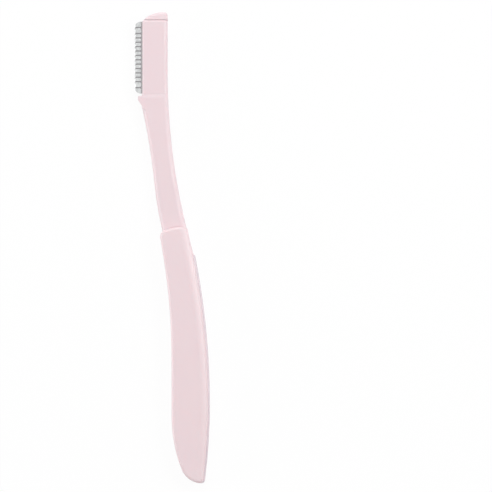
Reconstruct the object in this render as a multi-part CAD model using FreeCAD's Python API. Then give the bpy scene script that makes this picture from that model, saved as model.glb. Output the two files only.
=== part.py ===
import FreeCAD, Part
import math
import os

from FreeCAD import Vector

# Folding eyebrow razor, in millimetres. The razor lies on its rear face with the arm open.
# The origin is on the pivot's axis, in the plane of the rear face. +X is to the right seen
# from the front, +Y runs from the pivot to the head and +Z points out of the front.

# Arm, seen from the front
fold_angle = 175.0
arm_thickness = 3.4
back_setback = 2.65
bend_level = 55.0
arm_back_radius = 208.0
tip_length = 2.4
tip_radius = 8.7
tip_crest = 1.65
tip_corner = 1.1
head_width = 8.2
pocket_bottom = 48.2
pocket_length = 23.7
hook_reach = 1.3
hook_drop = 0.7
hook_height = 1.35
hook_run = 1.55
hook_round = 0.45
neck_top_width = 8.65
neck_top_lean = 12.8
waist_level = 19.2
waist_width = 7.35
neck_root_level = 5.1
neck_root_width = 7.95
neck_round = 1.5
rear_round = 1.0
ramp_length = 1.4
tip_drop = 0.4
tip_fall = 0.35
tip_rim = 0.8

# Blade, guard and cover
blade_thickness = 0.3
blade_width = 7.6
bevel_length = 0.9
edge_setback = 0.2
guard_sheet = 0.15
guard_reach = 2.35
guard_corner = 1.9
guard_inset = 0.6
tongue_length = 2.0
slit_gap = 0.4
slit_pitch = 1.4
slit_count = 12
end_tongue = 1.92
tongue_round = 0.42
cover_drop = 0.25
cover_seam = 0.04
cover_round = 0.65
cover_pin_radius = 0.7
cover_pin_spacing = 13.0
cover_pin_depth = 0.9
part_gap = 0.1

# Handle
handle_thickness = 8.0
slot_width = 4.4
back_radius = 240.0
tail_radius = 190.0
back_level = 51.0
sweep_level = 55.0
sweep_radius = 46.0
toe_radius = 7.0
top_level = 5.7
top_crest = 2.4
top_radius = 16.0
open_corner = 2.3
back_corner = 1.2
tip_round = 1.1
crown_width = 3.2
crown_drop = 0.7
rim_round = 0.9
spine_proud = 0.6
spine_thickness = 2.1
spine_thin = 1.4
spine_round = 0.4
thin_level = 44.0
guard_room = 0.5
tip_room = 0.9
tip_block = 3.4
tip_slope = 15.0
peg_height = 0.6
peg_count = 3
peg_margin = 4.0
peg_radius = 0.5

# Pivot and fits
pin_radius = 1.2
pin_cover = 0.8
running_clearance = 0.05
seat_clearance = 0.02
side_clearance = 0.1
stop_clearance = 0.05

# Levels across the thickness
mid = handle_thickness / 2
slot_low = mid - slot_width / 2
slot_high = mid + slot_width / 2
arm_low = mid - arm_thickness / 2
arm_high = mid + arm_thickness / 2
blade_low = mid - blade_thickness / 2
blade_high = mid + blade_thickness / 2
pocket_floor = blade_low - guard_sheet
guard_high = blade_high + guard_sheet
cover_high = arm_high - cover_drop
tip_high = arm_high - tip_drop

# Head, from left to right and from bottom to top
head_back = -back_setback
head_left = head_back - head_width
guard_nose = head_left - guard_reach
blade_edge = guard_nose + edge_setback
blade_back = blade_edge + blade_width
pocket_top = pocket_bottom + pocket_length
tip_level = pocket_top + tip_length
cover_left = head_left + part_gap
cover_bottom = pocket_bottom + seat_clearance
cover_top = pocket_top - cover_seam
guard_bottom = pocket_bottom + part_gap
guard_top = pocket_top - guard_inset
blade_middle = (guard_bottom + guard_top) / 2
pin_column = (cover_left + blade_back) / 2


def at(x, y, z=0.0):
    return Vector(x, y, z)


def line(start, end):
    return Part.LineSegment(start, end).toShape()


def turned(point, angle):
    """A point of the arm after the arm has turned about the pivot."""
    c = math.cos(math.radians(angle))
    s = math.sin(math.radians(angle))
    return at(point.x * c - point.y * s, point.x * s + point.y * c)


def tangent_arc(start, heading, end):
    """Arc that leaves start along heading and reaches end, and its heading there."""
    chord = end - start
    along = Vector(chord).normalize()
    left = at(-along.y, along.x)
    half = math.atan2(heading.dot(left), heading.dot(along))
    middle = start + chord * 0.5 + left * (chord.Length / 2 * math.tan(half / 2))
    arrived = along * (2 * heading.dot(along)) - heading
    return Part.Arc(start, middle, end).toShape(), arrived


def circle_x(centre, radius, y):
    """Right-hand side of a circle at height y."""
    return centre.x + math.sqrt(radius ** 2 - (y - centre.y) ** 2)


def circle_arc(centre, radius, y_start, y_end):
    """Right-hand side of a circle between two heights."""
    y_middle = (y_start + y_end) / 2
    ends = [at(circle_x(centre, radius, y), y) for y in (y_start, y_middle, y_end)]
    return Part.Arc(*ends).toShape()


def crossings(first_centre, first_radius, second_centre, second_radius):
    """The two points where two circles cross, the lower one first."""
    first = Part.Circle(first_centre, at(0, 0, 1), first_radius)
    second = Part.Circle(second_centre, at(0, 0, 1), second_radius)
    return sorted((at(p.X, p.Y) for p in first.intersect(second)), key=lambda p: p.y)


def prism(edges, z_low, z_high):
    face = Part.Face(Part.Wire(edges))
    face.translate(at(0, 0, z_low))
    return face.extrude(at(0, 0, z_high - z_low))


def block(x_low, x_high, y_low, y_high, z_low, z_high):
    return Part.makeBox(x_high - x_low, y_high - y_low, z_high - z_low, at(x_low, y_low, z_low))


def rod(radius, x, y, z_low, z_high):
    return Part.makeCylinder(radius, z_high - z_low, at(x, y, z_low))


def upright_edges(shape, *places):
    """Edges along Z that stand at the given places in plan."""
    found = []
    for edge in shape.Edges:
        box = edge.BoundBox
        upright = box.XLength < 0.001 and box.YLength < 0.001
        if upright and any(math.hypot(box.XMin - p.x, box.YMin - p.y) < 0.01 for p in places):
            found.append(edge)
    return found


def flat_edges(shape, z, *places):
    """Edges at height z whose middle is nearest to each given place in plan."""
    level = [e for e in shape.Edges if abs(e.BoundBox.ZMin - z) < 0.001 and e.BoundBox.ZLength < 0.002]

    def middle(edge):
        return edge.valueAt((edge.FirstParameter + edge.LastParameter) / 2)

    return [min(level, key=lambda e: math.hypot(middle(e).x - p.x, middle(e).y - p.y)) for p in places]


def back_x(level):
    """Back of the arm: straight along the head, then one long arc down to the heel."""
    if level >= bend_level:
        return head_back
    return head_back + arm_back_radius - math.sqrt(arm_back_radius ** 2 - (bend_level - level) ** 2)


def back_edges(low, high):
    """Back of the arm between two levels, from the lower to the higher."""
    bend = min(max(low, bend_level), high)
    edges = []
    if low < bend:
        levels = (low, (low + bend) / 2, bend)
        edges.append(Part.Arc(*[at(back_x(y), y) for y in levels]).toShape())
    if bend < high:
        edges.append(line(at(head_back, bend), at(head_back, high)))
    return edges


# Belly of the neck, from under the hook down to the tang's round end
hook_top = pocket_bottom - hook_drop
neck_top = hook_top - hook_height - hook_run
belly_start = at(back_x(neck_top) - neck_top_width, neck_top)
waist = at(back_x(waist_level) - waist_width, waist_level)
neck_root = at(back_x(neck_root_level) - neck_root_width, neck_root_level)
lean = math.radians(neck_top_lean)
upper_belly, waist_heading = tangent_arc(belly_start, at(math.sin(lean), -math.cos(lean)), waist)
lower_belly, root_heading = tangent_arc(waist, waist_heading, neck_root)
tang_start = neck_root - root_heading * neck_root.dot(root_heading)
tang_radius = tang_start.Length
heel = at(back_x(-tang_radius), -tang_radius)
hook_left = head_left - hook_reach
hook_upper = at(hook_left, hook_top)
hook_lower = at(hook_left, hook_top - hook_height)
tip_back = at(head_back, tip_level)


def arm_outline():
    crest = at(head_back - tip_crest, tip_level)
    tip_centre = crest - at(0, tip_radius)
    tip_run = crest.x - head_left
    tip_left = at(head_left, tip_centre.y + math.sqrt(tip_radius ** 2 - tip_run ** 2))
    tip_half = math.asin(tip_run / tip_radius) / 2
    tip_middle = tip_centre + at(-math.sin(tip_half), math.cos(tip_half)) * tip_radius
    hook_inner = at(head_left, hook_top)
    tang_turn = math.atan2(tang_start.y, -tang_start.x)
    tang_half = math.pi + (math.pi / 2 - tang_turn) / 2
    tang_middle = at(math.cos(tang_half), math.sin(tang_half)) * tang_radius
    tang_bottom = at(0, -tang_radius)
    edges = [
        line(tip_back, crest),
        Part.Arc(crest, tip_middle, tip_left).toShape(),
        line(tip_left, hook_inner),
        line(hook_inner, hook_upper),
        line(hook_upper, hook_lower),
        line(hook_lower, belly_start),
        upper_belly,
        lower_belly,
        line(neck_root, tang_start),
        Part.Arc(tang_start, tang_middle, tang_bottom).toShape(),
        line(tang_bottom, heel),
    ]
    return edges + back_edges(heel.y, tip_level)


def slice_of_arm(y_low, y_high, z_high):
    """The arm's plain outline between two levels, up to a height."""
    left = guard_nose - hook_reach
    right = tang_radius + head_width
    stock = prism(arm_outline(), arm_low, z_high)
    return stock.common(block(left, right, y_low, y_high, arm_low, z_high))


def make_neck():
    neck = slice_of_arm(-2 * tang_radius, pocket_bottom, arm_high)
    sides = (at(back_x(waist_level), waist_level), (belly_start + waist) * 0.5)
    neck = neck.makeFillet(rear_round, flat_edges(neck, arm_low, *sides))
    neck = neck.makeFillet(neck_round, flat_edges(neck, arm_high, *sides))
    return neck.makeFillet(hook_round, upright_edges(neck, hook_upper, hook_lower))


def make_blade_bed():
    """The thin plate of the head that carries the guard and blade."""
    bed = slice_of_arm(pocket_bottom, pocket_top, pocket_floor)
    back_middle = at(head_back, (bend_level + pocket_top) / 2)
    return bed.makeFillet(rear_round, flat_edges(bed, arm_low, back_middle))


def make_tip():
    """The end of the head. Its front starts a little lower than the cover and slopes away."""
    tip = slice_of_arm(pocket_top, tip_level, tip_high)
    fall_end = at(head_back, pocket_top + 2 * tip_length, tip_high - 2 * tip_fall)
    slope_points = [at(head_back, pocket_top, tip_high), fall_end, at(head_back, fall_end.y, tip_high)]
    slope = Part.Face(Part.makePolygon(slope_points + slope_points[:1]))
    tip = tip.cut(slope.extrude(at(-2 * head_width, 0, 0)))
    tip = tip.makeFillet(tip_corner, upright_edges(tip, tip_back))
    tip = tip.makeFillet(rear_round, flat_edges(tip, arm_low, tip_back))
    seam_side = pocket_top + part_gap
    front = [e for e in tip.Edges if e.BoundBox.ZMin > mid and e.CenterOfMass.y > seam_side]
    rim = [e for e in front if e.BoundBox.XLength + e.BoundBox.YLength > part_gap]
    return tip.makeFillet(tip_rim, rim)


def make_blade_arm():
    arm = make_neck().fuse([make_blade_bed(), make_tip()])

    # The neck slopes down to the cover's lower edge
    above = arm_high + cover_drop
    ramp_points = [
        at(guard_nose, pocket_bottom - 2 * ramp_length, above),
        at(guard_nose, pocket_bottom, cover_high),
        at(guard_nose, pocket_bottom, above),
    ]
    ramp_end = Part.Face(Part.makePolygon(ramp_points + ramp_points[:1]))
    arm = arm.cut(ramp_end.extrude(at(2 * head_width, 0, 0)))
    socket_radius = cover_pin_radius + seat_clearance
    for y in cover_pin_levels():
        arm = arm.cut(rod(socket_radius, pin_column, y, pocket_floor - cover_pin_depth, above))

    # Two round bosses keep the tang clear of the handle's walls
    boss_radius = tang_radius - neck_round
    arm = arm.fuse(rod(boss_radius, 0, 0, slot_low + side_clearance, slot_high - side_clearance))
    return arm.cut(rod(pin_radius + running_clearance, 0, 0, slot_low, slot_high)).removeSplitter()


def cover_pin_levels():
    return [blade_middle - cover_pin_spacing / 2, blade_middle + cover_pin_spacing / 2]


def corner_rounded(shape, x, bottom, top, radius):
    return shape.makeFillet(radius, upright_edges(shape, at(x, bottom), at(x, top)))


def pin_holes(z_low, z_high):
    hole_radius = cover_pin_radius + part_gap
    return [rod(hole_radius, pin_column, y, z_low, z_high) for y in cover_pin_levels()]


def make_blade():
    bottom = guard_bottom + part_gap
    top = guard_top - part_gap
    shoulder = blade_edge + bevel_length
    section = [
        at(blade_back, bottom, blade_low),
        at(shoulder, bottom, blade_low),
        at(blade_edge, bottom, mid),
        at(shoulder, bottom, blade_high),
        at(blade_back, bottom, blade_high),
    ]
    strip = Part.Face(Part.makePolygon(section + section[:1])).extrude(at(0, top - bottom, 0))
    sheet = block(blade_edge, blade_back, bottom, top, blade_low, blade_high)
    corner = guard_corner - part_gap
    blade = strip.common(corner_rounded(sheet, blade_edge, bottom, top, corner))
    return blade.cut(Part.makeCompound(pin_holes(blade_low, blade_high)))


def make_blade_guard():
    outer = (guard_high - pocket_floor) / 2
    inner = outer - guard_sheet
    fold = guard_nose + outer
    tongue_end = guard_nose + tongue_length

    def point(x, z):
        return at(x, guard_bottom, z)

    # One strip under the blade, folded round the edge and back onto the front
    section = [
        line(point(blade_back, pocket_floor), point(fold, pocket_floor)),
        Part.Arc(point(fold, pocket_floor), point(guard_nose, mid), point(fold, guard_high)).toShape(),
        line(point(fold, guard_high), point(tongue_end, guard_high)),
        line(point(tongue_end, guard_high), point(tongue_end, blade_high)),
        line(point(tongue_end, blade_high), point(fold, blade_high)),
        Part.Arc(point(fold, blade_high), point(fold - inner, mid), point(fold, blade_low)).toShape(),
        line(point(fold, blade_low), point(blade_back, blade_low)),
        line(point(blade_back, blade_low), point(blade_back, pocket_floor)),
    ]
    length = guard_top - guard_bottom
    guard = Part.Face(Part.Wire(section)).extrude(at(0, length, 0))
    outline = block(guard_nose, blade_back, guard_bottom, guard_top, pocket_floor, guard_high)
    guard = guard.common(corner_rounded(outline, guard_nose, guard_bottom, guard_top, guard_corner))

    # Slits part the fold into tongues; the last slit at each end leaves a broad end tongue
    row = [(i - (slit_count - 1) / 2) * slit_pitch for i in range(slit_count)]
    levels = [row[0] - end_tongue] + row + [row[-1] + end_tongue]
    before = guard_nose - slit_gap
    beyond = tongue_end + slit_gap
    slits = []
    corners = []
    for level in levels:
        low = blade_middle + level - slit_gap / 2
        high = low + slit_gap
        slits.append(block(before, beyond, low, high, blade_low, guard_high + guard_sheet))
        slits.append(block(before, tongue_end, low, high, pocket_floor - guard_sheet, blade_low))
        corners += [at(tongue_end, low), at(tongue_end, high)]
    guard = guard.cut(Part.makeCompound(slits + pin_holes(pocket_floor, blade_low)))
    free_ends = [e for e in upright_edges(guard, *corners) if e.BoundBox.ZMin > mid]
    return guard.makeFillet(tongue_round, free_ends)


def make_blade_cover():
    corner_points = [at(back_x(cover_bottom), cover_bottom), at(head_back, cover_top)]
    left_points = [at(cover_left, cover_top), at(cover_left, cover_bottom)]
    outline = back_edges(cover_bottom, cover_top)
    outline.append(line(corner_points[1], left_points[0]))
    outline.append(line(left_points[0], left_points[1]))
    outline.append(line(left_points[1], corner_points[0]))
    cover = prism(outline, pocket_floor, cover_high)
    cover = cover.makeFillet(cover_round, upright_edges(cover, left_points[0]))
    back_middle = at(head_back, (bend_level + cover_top) / 2)
    cover = cover.makeFillet(neck_round - cover_drop, flat_edges(cover, cover_high, back_middle))
    left_middle = (left_points[0] + left_points[1]) * 0.5
    cover = cover.makeFillet(cover_round, flat_edges(cover, cover_high, left_middle))

    # A step in the underside takes the blade and guard, and two pins hold them
    low = guard_bottom - part_gap
    high = guard_top + part_gap
    recess = block(guard_nose, blade_back + part_gap, low, high, pocket_floor - guard_sheet, blade_high)
    cover = cover.cut(recess)
    pin_end = pocket_floor - cover_pin_depth + part_gap
    for y in cover_pin_levels():
        cover = cover.fuse(rod(cover_pin_radius, pin_column, y, pin_end, blade_high))
    return cover.removeSplitter()


# Outline of the handle. Its open edge is the back of the folded arm, and its back clears
# the folded guard.
open_centre = turned(at(head_back + arm_back_radius, bend_level), fold_angle)
open_edge = open_centre.x + arm_back_radius
folded_heel_end = turned(at(guard_nose, guard_bottom), fold_angle)
folded_far_end = turned(at(cover_left, guard_top), fold_angle)
guard_circle = back_radius - spine_thin - guard_room
back_drop = math.sqrt(guard_circle ** 2 - (folded_heel_end.y + back_level) ** 2)
back_centre = at(folded_heel_end.x - back_drop, -back_level)
tail_centre = back_centre + at(back_radius - tail_radius, 0)
block_level = folded_far_end.y - tip_room
handle_bottom = block_level - tip_block
top_centre = at(top_crest, top_level - top_radius)
spine_top = -tang_radius - stop_clearance


def make_handle_blank(back_inset, z_low, z_high):
    """Solid of the handle's outline, with its back moved in by back_inset."""
    open_top = crossings(top_centre, top_radius, open_centre, arm_back_radius)[1]
    back_top = crossings(top_centre, top_radius, back_centre, back_radius - back_inset)[1]
    sweep_start = at(open_edge, -sweep_level)
    sweep_sine = (-sweep_level - handle_bottom - toe_radius) / (sweep_radius - toe_radius)
    sweep_turn = math.asin(sweep_sine)
    sweep_centre = sweep_start + at(sweep_radius, 0)

    def outward(angle):
        return at(-math.cos(angle), -math.sin(angle))

    toe_centre = sweep_centre + outward(sweep_turn) * (sweep_radius - toe_radius)
    toe_start = toe_centre + outward(sweep_turn) * toe_radius
    toe_middle = toe_centre + outward((sweep_turn + math.pi / 2) / 2) * toe_radius
    tip = crossings(toe_centre, toe_radius, tail_centre, tail_radius - back_inset)[0]
    edges = [
        Part.Arc(back_top, at(top_crest, top_level), open_top).toShape(),
        circle_arc(open_centre, arm_back_radius, open_top.y, open_centre.y),
        line(at(open_edge, open_centre.y), sweep_start),
        Part.Arc(sweep_start, sweep_centre + outward(sweep_turn / 2) * sweep_radius, toe_start).toShape(),
        Part.Arc(toe_start, toe_middle, tip).toShape(),
        circle_arc(tail_centre, tail_radius - back_inset, tip.y, -back_level),
        circle_arc(back_centre, back_radius - back_inset, -back_level, back_top.y),
    ]
    blank = prism(Part.sortEdges(edges)[0], z_low, z_high)
    blank = blank.makeFillet(open_corner, upright_edges(blank, open_top))
    blank = blank.makeFillet(back_corner, upright_edges(blank, back_top))
    return blank.makeFillet(tip_round, upright_edges(blank, tip))


def spine_inner_x(y, thickness):
    if y >= -back_level:
        return circle_x(back_centre, back_radius - thickness, y)
    return circle_x(tail_centre, tail_radius - thickness, y)


def peg_places():
    """Pegs along the middle of the spine's seat, and one in the tip block."""
    seat_middle = (spine_proud + spine_thickness) / 2
    low = -thin_level + peg_margin
    high = spine_top - peg_margin
    levels = [low + (high - low) * i / (peg_count - 1) for i in range(peg_count)]
    places = [at(spine_inner_x(y, seat_middle), y) for y in levels]
    tip_y = handle_bottom + tip_block / 2
    places.append(at(spine_inner_x(tip_y, spine_thickness), tip_y))
    return places


def make_front_scale():
    scale = make_handle_blank(spine_proud, slot_high, handle_thickness)

    # The face rolls off towards the back, along the back's own arc
    crown_radius = (crown_width ** 2 + crown_drop ** 2) / (2 * crown_drop)
    roll_start = back_radius - spine_proud - crown_width
    roll_end = back_radius - spine_proud + crown_drop
    roll_low = handle_thickness - crown_radius

    def roll_point(r, z):
        return back_centre + at(r, 0, z)

    def roll_z(r):
        return roll_low + math.sqrt(crown_radius ** 2 - (r - roll_start) ** 2)

    roll_middle = (roll_start + roll_end) / 2
    above = handle_thickness + crown_drop
    roll = [
        Part.Arc(*[roll_point(r, roll_z(r)) for r in (roll_start, roll_middle, roll_end)]).toShape(),
        line(roll_point(roll_end, roll_z(roll_end)), roll_point(roll_end, above)),
        line(roll_point(roll_end, above), roll_point(roll_start, above)),
        line(roll_point(roll_start, above), roll_point(roll_start, handle_thickness)),
    ]
    face = Part.Face(Part.Wire(roll))
    axis = at(0, 0, 1)
    turn = math.degrees(math.asin((back_level + top_level) / roll_start))
    face.rotate(back_centre, axis, -2 * turn)
    scale = scale.cut(face.revolve(back_centre, axis, 4 * turn))

    side_middle = (slot_high + handle_thickness - crown_drop) / 2
    outer = [e for e in scale.Edges if e.BoundBox.ZMin > side_middle and not seam_on_face(scale, e)]
    scale = scale.makeFillet(rim_round, outer)
    socket_radius = peg_radius + seat_clearance
    socket_end = slot_high + peg_height + part_gap
    sockets = [rod(socket_radius, p.x, p.y, slot_high, socket_end) for p in peg_places()]
    sockets.append(rod(pin_radius + seat_clearance, 0, 0, slot_high, handle_thickness - pin_cover))
    return scale.cut(Part.makeCompound(sockets))


def seam_on_face(shape, edge):
    """True where an edge only parts two stretches of the outer face."""
    for face in shape.ancestorsOfType(edge, Part.Face):
        if abs(face.normalAt(*middle_of(face)).z) < 0.01:
            return False
    return True


def middle_of(face):
    u_low, u_high, v_low, v_high = face.ParameterRange
    return (u_low + u_high) / 2, (v_low + v_high) / 2


def make_rear_scale(front_scale):
    return front_scale.mirror(at(0, 0, mid), at(0, 0, 1))


def make_spine():
    spine = make_handle_blank(0, slot_low, slot_high)
    far = 2 * handle_thickness
    thin_end = -thin_level - (spine_thickness - spine_thin)
    corners = [
        at(spine_inner_x(spine_top, spine_thickness), spine_top),
        at(spine_inner_x(-thin_level, spine_thickness), -thin_level),
        at(spine_inner_x(thin_end, spine_thin), thin_end),
        at(spine_inner_x(block_level, spine_thin), block_level),
    ]
    left = open_edge - far
    slope = math.tan(math.radians(tip_slope))
    ramp_end = at(left, block_level - (corners[3].x - left) * slope)
    right = corners[2].x + far
    slot = [
        line(at(left, far), at(right, far)),
        line(at(right, far), at(right, spine_top)),
        line(at(right, spine_top), corners[0]),
        circle_arc(back_centre, back_radius - spine_thickness, corners[0].y, corners[1].y),
        line(corners[1], corners[2]),
        circle_arc(back_centre, back_radius - spine_thin, corners[2].y, -back_level),
        circle_arc(tail_centre, tail_radius - spine_thin, -back_level, corners[3].y),
        line(corners[3], ramp_end),
        line(ramp_end, at(left, far)),
    ]
    spine = spine.cut(prism(slot, slot_low - far, slot_high + far))
    outer_y = (spine_top - back_level) / 2
    outer_middle = at(circle_x(back_centre, back_radius, outer_y), outer_y)
    rims = flat_edges(spine, slot_low, outer_middle) + flat_edges(spine, slot_high, outer_middle)
    spine = spine.makeFillet(spine_round, rims)
    for p in peg_places():
        spine = spine.fuse(rod(peg_radius, p.x, p.y, slot_low - peg_height, slot_high + peg_height))
    return spine.removeSplitter()


def make_pivot_pin():
    pin_end = pin_cover + part_gap
    return rod(pin_radius, 0, 0, pin_end, handle_thickness - pin_end)


front_scale = make_front_scale()
parts = {
    "front_scale": front_scale,
    "rear_scale": make_rear_scale(front_scale),
    "spine": make_spine(),
    "pivot_pin": make_pivot_pin(),
    "blade_arm": make_blade_arm(),
    "blade": make_blade(),
    "blade_guard": make_blade_guard(),
    "blade_cover": make_blade_cover(),
}

os.makedirs("parts", exist_ok=True)
for name, shape in parts.items():
    shape.exportStep("parts/" + name + ".step")
    print(name, len(shape.Solids), round(shape.Volume, 3), shape.isValid())
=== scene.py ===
import math

import bpy
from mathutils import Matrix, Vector


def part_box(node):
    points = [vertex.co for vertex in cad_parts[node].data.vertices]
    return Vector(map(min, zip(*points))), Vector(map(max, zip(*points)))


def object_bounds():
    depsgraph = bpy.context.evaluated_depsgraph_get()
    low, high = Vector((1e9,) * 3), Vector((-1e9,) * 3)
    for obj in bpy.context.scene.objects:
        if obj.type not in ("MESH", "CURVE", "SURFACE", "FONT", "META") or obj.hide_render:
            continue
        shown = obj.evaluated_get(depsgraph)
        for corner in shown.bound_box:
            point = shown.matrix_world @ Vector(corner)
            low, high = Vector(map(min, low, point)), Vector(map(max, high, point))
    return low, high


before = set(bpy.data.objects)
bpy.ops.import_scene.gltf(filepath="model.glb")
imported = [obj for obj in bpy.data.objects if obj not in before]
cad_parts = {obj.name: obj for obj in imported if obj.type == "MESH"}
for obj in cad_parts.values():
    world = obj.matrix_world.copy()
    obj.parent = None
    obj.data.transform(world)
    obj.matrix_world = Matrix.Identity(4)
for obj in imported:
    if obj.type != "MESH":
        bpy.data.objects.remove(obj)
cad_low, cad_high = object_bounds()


# Rear half of the handle. A thin plate moulded in satin pale pink plastic, with the flat that
# the razor lies on. It is pressed onto the spine's pegs and holds one end of the hinge pin.
class Signal:
    """A socket of a finish. Sums and products of signals add their Math nodes."""

    def __init__(self, finish, socket):
        self.finish = finish
        self.socket = socket

    def math(self, operation, first, second):
        return self.finish.add("ShaderNodeMath", {"operation": operation}, {0: first, 1: second})

    def __add__(self, other):
        return self.math("ADD", self, other)

    def __radd__(self, other):
        return self.math("ADD", other, self)

    def __sub__(self, other):
        return self.math("SUBTRACT", self, other)

    def __rsub__(self, other):
        return self.math("SUBTRACT", other, self)

    def __mul__(self, other):
        return self.math("MULTIPLY", self, other)

    def __rmul__(self, other):
        return self.math("MULTIPLY", other, self)


class Finish:
    """A material put together node by node, with its textures measured in millimetres."""

    metre = 1000.0  # in millimetres

    def __init__(self, owner, shader="Principled BSDF"):
        owner.use_nodes = True
        self.owner = owner
        self.tree = owner.node_tree
        self.shader = self.tree.nodes[shader]

    def add(self, kind, settings, sockets, output=0):
        """A new node: first its settings, then the values or links of its sockets."""
        node = self.tree.nodes.new(kind)
        for name, value in settings.items():
            setattr(node, name, value)
        self.feed(node, sockets)
        return Signal(self, node.outputs[output])

    def feed(self, node, sockets):
        """Links a node's sockets to signals, or sets them to plain values."""
        for name, value in sockets.items():
            if isinstance(value, Signal):
                self.tree.links.new(value.socket, node.inputs[name])
            else:
                node.inputs[name].default_value = value

    def dress(self, name, wear=0.00004):
        """Puts the finish on a piece and rounds its sharp edges by wear, in metres."""
        joined_gap = 0.000001
        flat_angle = math.radians(0.5)
        sharp_angle = math.radians(40)
        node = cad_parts[name]
        node.data.materials.clear()
        node.data.materials.append(self.owner)
        if not wear:
            return
        node.modifiers.new("joined", "WELD").merge_threshold = joined_gap
        flat = node.modifiers.new("flat", "DECIMATE")
        flat.decimate_type = "DISSOLVE"
        flat.angle_limit = flat_angle
        worn = node.modifiers.new("worn_edges", "BEVEL")
        worn.width = wear
        worn.segments = 2
        worn.limit_method = "ANGLE"
        worn.angle_limit = sharp_angle
        node.modifiers.new("shading", "WEIGHTED_NORMAL")

    def millimetres(self, stretch=(1.0, 1.0, 1.0)):
        """Places on the piece in millimetres, times a stretch along X, Y and Z."""
        place = self.add("ShaderNodeTexCoord", {}, {}, "Object")
        scale = tuple(self.metre * part for part in stretch)
        return self.add("ShaderNodeVectorMath", {"operation": "MULTIPLY"}, {0: place, 1: scale})

    def noise(self, place, size, seed, detail=2.0):
        """Noise about 0.5, in grains of about one size."""
        sockets = {"Vector": place, "W": seed, "Scale": 1.0 / size, "Detail": detail}
        return self.add("ShaderNodeTexNoise", {"noise_dimensions": "4D"}, sockets)

    def between(self, amount, first, second):
        """A colour between two others. A Mix node has its colours on sockets 6 and 7."""
        return self.add("ShaderNodeMix", {"data_type": "RGBA"}, {0: amount, 6: first, 7: second}, 2)

    def ray(self, way):
        return self.add("ShaderNodeLightPath", {}, {}, way)

    def relief(self, height):
        """Bumps of a height in millimetres."""
        sockets = {"Height": height, "Strength": 1.0, "Distance": 1.0 / self.metre}
        return self.add("ShaderNodeBump", {}, sockets)


def tint(red, green, blue):
    """A colour as a paint chip gives it, from 0 to 255, turned into light by the sRGB curve."""
    shares = (part / 255 for part in (red, green, blue))
    return tuple(s / 12.92 if s < 0.04045 else ((s + 0.055) / 1.055) ** 2.4 for s in shares) + (1.0,)


def satin_pink(name, warm, cool, seed):
    """Moulded plastic: drifts between two pinks as it flowed, with a fine spark-eroded skin."""
    flow_size, flow_stretch, flow_dulling = 7.0, (1.0, 0.35, 1.0), 0.1
    peel_size, peel_height = 1.6, 0.004
    grain_size, grain_height, grain_dulling, grain_tint = 0.12, 0.0015, 0.08, 0.25
    gloss_roughness = 0.24
    plastic_ior = 1.49
    milkiness, milky_depth = 0.15, (0.0012, 0.0007, 0.0007)
    finish = Finish(bpy.data.materials.new(name))
    place = finish.millimetres()
    flow = finish.noise(finish.millimetres(flow_stretch), flow_size, seed, detail=3.0)
    peel = finish.noise(place, peel_size, seed + 1.0)
    grain = finish.noise(place, grain_size, seed + 2.0, detail=1.0)
    drift = flow + grain_tint * (grain - 0.5)
    finish.feed(finish.shader, {
        "Base Color": finish.between(drift, warm, cool),
        "Roughness": gloss_roughness + flow_dulling * flow + grain_dulling * grain,
        "Normal": finish.relief(peel_height * peel + grain_height * grain),
        "IOR": plastic_ior,
        "Subsurface Weight": milkiness,
        "Subsurface Radius": milky_depth,
    })
    return finish


handle_warm = tint(241, 220, 222)
handle_cool = tint(237, 217, 222)
satin_pink("rear_scale_pink", handle_warm, handle_cool, seed=3.0).dress("rear_scale")


# Spine. A narrow strip of the same plastic between the two halves, along the handle's back. Its
# top end stops the open arm, and its pegs register the halves before they are welded. The mould
# rounds its long edges, so no wear is added to them. Its pinks are greyer and darker than the
# halves': painted shade on the strip, which lies low between them.
# Painted shade: these pinks are greyer and darker than the handle's, for the shade on the low strip.
spine_shaded_warm = tint(228, 214, 219)
spine_shaded_cool = tint(224, 212, 218)
satin_pink("spine_shaded_pink", spine_shaded_warm, spine_shaded_cool, seed=11.0).dress("spine", wear=0.0)


# Hinge pin. A short length of drawn steel wire, out of sight in blind holes of the two halves.
# The arm's tang turns on it.
def steel(name, light, dark, lines, seed):
    """Bare steel with fine working lines; lines says how they are drawn out along X, Y and Z."""
    line_size, line_height, line_dulling, line_tint = 1.0, 0.0012, 0.14, 0.5
    cloud_size, cloud_height, cloud_dulling, cloud_tint = 0.5, 0.004, 0.12, 1.6
    polish_roughness = 0.2
    light_share = 0.25
    finish = Finish(bpy.data.materials.new(name))
    drawn = finish.noise(finish.millimetres(lines), line_size, seed, detail=3.0)
    cloud = finish.noise(finish.millimetres(), cloud_size, seed + 1.0)
    brightness = line_tint * drawn + cloud_tint * (cloud - 0.5) + light_share
    finish.colour = finish.between(brightness, dark, light)
    finish.feed(finish.shader, {
        "Base Color": finish.colour,
        "Roughness": polish_roughness + line_dulling * drawn + cloud_dulling * cloud,
        "Normal": finish.relief(line_height * drawn + cloud_height * cloud),
        "Metallic": 1.0,
    })
    return finish


wire_light = tint(205, 206, 208)
wire_dark = tint(176, 178, 181)
wire_lines = (9.0, 9.0, 0.5)
steel("pin_wire", wire_light, wire_dark, wire_lines, seed=21.0).dress("pivot_pin")


# Blade arm. Neck and head in one pink moulding, with a pocket for the blade and a round tang at
# its root. It swings on the hinge pin, out of the slot in the handle's side.
arm_warm = tint(239, 219, 222)
arm_cool = tint(235, 215, 220)
satin_pink("arm_pink", arm_warm, arm_cool, seed=31.0).dress("blade_arm")


# Comb guard. A strip of thin stainless sheet, slit into tongues and folded round the blade's
# edge, so that only a hair's width of edge shows between them. The cover's pins hold it.
sheet_light = tint(232, 233, 233)
sheet_dark = tint(182, 184, 185)
sheet_lines = (7.0, 0.6, 7.0)
tongue_wear = 0.00012
steel("guard_sheet", sheet_light, sheet_dark, sheet_lines, seed=41.0).dress("blade_guard", tongue_wear)
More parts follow.
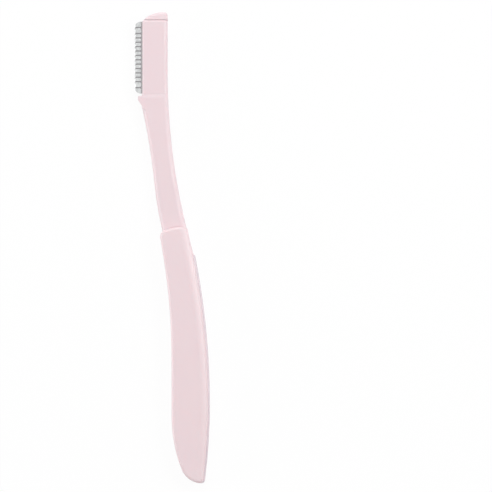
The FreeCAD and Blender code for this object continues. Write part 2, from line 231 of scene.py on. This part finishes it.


# Blade. A ground stainless strip inside the folded guard, with its edge to the left, held by the
# cover's pins. Its steel is painted darker than the guard's: painted shade under the cover's edge
# and the tongues. The honed bevel along the edge is painted darker still: painted shade in the
# slits between the tongues.
# Painted shade: these steel colours are darker than the guard's, for the shade under the cover's edge
# and the tongue ends.
shaded_blade_light = tint(186, 183, 184)
shaded_blade_dark = tint(158, 155, 157)
blade_lines = (0.5, 9.0, 9.0)
# Painted shade: the band on the honed bevel is darker than the blade, for the shade in the slits
# between the tongues.
bevel_and_slit_shade_tint = tint(152, 150, 152)
shaded_bevel_width = 1.8
blade_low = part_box("blade")[0]
shaded_bevel_end = Finish.metre * blade_low.x + shaded_bevel_width
blade_steel = steel("shaded_blade_strip", shaded_blade_light, shaded_blade_dark, blade_lines, seed=51.0)
across = blade_steel.add("ShaderNodeSeparateXYZ", {}, {"Vector": blade_steel.millimetres()}, "X")
honed_and_slit_shade = across.math("LESS_THAN", across, shaded_bevel_end)
shaded_blade_colour = blade_steel.between(honed_and_slit_shade, blade_steel.colour, bevel_and_slit_shade_tint)
blade_steel.feed(blade_steel.shader, {"Base Color": shaded_blade_colour})
blade_steel.dress("blade")


# Blade cover. A flat plate in the arm's pink plastic, level with the head. Its two pins go
# through the blade and the guard and hold them in the pocket.
satin_pink("cover_pink", arm_warm, arm_cool, seed=61.0).dress("blade_cover")


# Front half of the handle. The rear half's mirror image in the same pink plastic, crowned
# towards its back. It is pressed on last, over the spine's pegs and the hinge pin.
satin_pink("front_scale_pink", handle_warm, handle_cool, seed=71.0).dress("front_scale")


# Floor. A wide white sheet of paper under the razor. It looks white to the camera and in
# reflections, and takes a faint shadow.
floor_half = 3.0
floor_drop = 0.0001
shadow_share = 0.05
paper_shade = (0.98, 0.98, 0.98, 1.0)
paper_roughness = 0.9
white = (1.0, 1.0, 1.0, 1.0)
floor_z = cad_low.z - floor_drop
sides = ((-1, -1), (1, -1), (1, 1), (-1, 1))
corners = [(x * floor_half, y * floor_half, floor_z) for x, y in sides]
floor_mesh = bpy.data.meshes.new("floor")
floor_mesh.from_pydata(corners, [], [(0, 1, 2, 3)])
floor = bpy.data.objects.new("floor", floor_mesh)
bpy.context.scene.collection.objects.link(floor)
paper = Finish(bpy.data.materials.new("white_paper"))
paper.feed(paper.shader, {
    "Base Color": paper_shade,
    "Roughness": paper_roughness,
    "Specular IOR Level": 0.0,
})
glow = paper.add("ShaderNodeEmission", {}, {"Color": white, "Strength": 1.0})
lit = Signal(paper, paper.shader.outputs[0])
seen = paper.ray("Is Camera Ray") + paper.ray("Is Glossy Ray") + paper.ray("Is Transmission Ray")
mixed = paper.add("ShaderNodeMixShader", {}, {0: seen * (1.0 - shadow_share), 1: lit, 2: glow})
paper.feed(paper.tree.nodes["Material Output"], {"Surface": mixed})
floor_mesh.materials.append(paper.owner)


# Studio light. A white tent all round, one large soft lamp beyond the head of the razor, a low
# one on each side and a smaller one high up on the right, for the sheen along the back.
tent_level = 0.45
tent_foot = 0.25
lamp_distance = 1.0
middle = (cad_low + cad_high) / 2
tent = Finish(bpy.data.worlds.new("tent"), "Background")
direction = tent.add("ShaderNodeTexCoord", {}, {}, "Generated")
height = tent.add("ShaderNodeSeparateXYZ", {}, {"Vector": direction}, "Z")
mirrored = tent.ray("Is Glossy Ray")
looked_at = tent.ray("Is Camera Ray")
reflected = tent_foot + (1.0 - tent_foot) * height
strength = looked_at + mirrored * reflected + (1.0 - looked_at - mirrored) * tent_level
tent.feed(tent.shader, {"Color": white, "Strength": strength})
bpy.context.scene.world = tent.owner


def soft_lamp(name, side, size, power):
    """A round lamp on one side of the razor, turned to its middle."""
    lamp = bpy.data.lights.new(name, "AREA")
    lamp.shape = "DISK"
    lamp.size = size
    lamp.energy = power
    stand = bpy.data.objects.new(name, lamp)
    stand.location = middle + Vector(side).normalized() * lamp_distance
    stand.rotation_euler = Vector(side).to_track_quat("Z", "Y").to_euler()
    bpy.context.scene.collection.objects.link(stand)


soft_lamp("key_lamp", (0.0, 0.8, 0.6), size=0.5, power=3.9)
soft_lamp("left_lamp", (-0.94, -0.08, 0.2), size=0.6, power=4.0)
soft_lamp("right_lamp", (0.95, 0.1, 0.2), size=0.6, power=1.0)
soft_lamp("high_lamp", (0.58, 0.12, 0.8), size=0.4, power=2.5)


# Camera. It looks straight down on the front through a long lens, as the photograph does. The
# picture is centred to the right of the razor, as there.
picture_width = 0.15744
picture_centre = (0.0224, -0.00048)
lens = 300.0
film = 36.0
camera_data = bpy.data.cameras.new("camera")
camera_data.lens = lens
camera_data.sensor_width = film
camera = bpy.data.objects.new("camera", camera_data)
camera.location = (*picture_centre, middle.z + picture_width * lens / film)
bpy.context.scene.collection.objects.link(camera)
bpy.context.scene.camera = camera
bpy.context.scene.view_settings.view_transform = "Standard"
